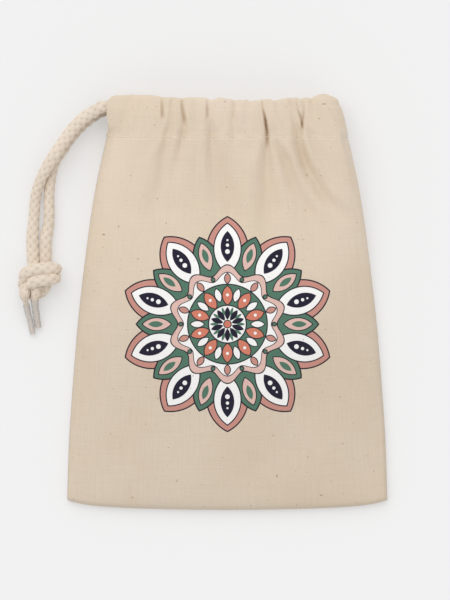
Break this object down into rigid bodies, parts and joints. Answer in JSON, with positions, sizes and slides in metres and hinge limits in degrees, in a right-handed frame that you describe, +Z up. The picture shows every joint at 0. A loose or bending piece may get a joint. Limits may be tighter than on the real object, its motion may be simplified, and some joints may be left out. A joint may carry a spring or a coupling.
{
  "type": "cotton drawstring gift bag",
  "caption": "Small natural cotton pouch with a gathered mouth, a drawstring that leaves its hem at one side and is knotted, and a round printed rosette on its front.",
  "frame": {"origin": "on the surface under the middle of the bag's bounding box, without its free cord", "axes": "+Y from the bottom towards the mouth, +Z up from the surface the bag lies on, +X to the right seen from above"},
  "size_m": [0.1866, 0.2081, 0.0245],
  "materials": {
    "cotton_cloth": "matt woven natural cotton",
    "cotton_cord": "matt braided cotton",
    "clear_tape": "glossy clear tape over squeezed cord"
  },
  "bodies": {
    "root": {"front_panel": "cotton_cloth", "back_panel": "cotton_cloth", "front_casing": "cotton_cloth", "back_casing": "cotton_cloth", "drawstring_run": "cotton_cord", "strand_a": "cotton_cord", "strand_b": "cotton_cord", "knot": "cotton_cord", "tail_a": "cotton_cord", "tail_b": "cotton_cord", "tip_a": "clear_tape", "tip_b": "clear_tape"}
  },
  "joints": []
}
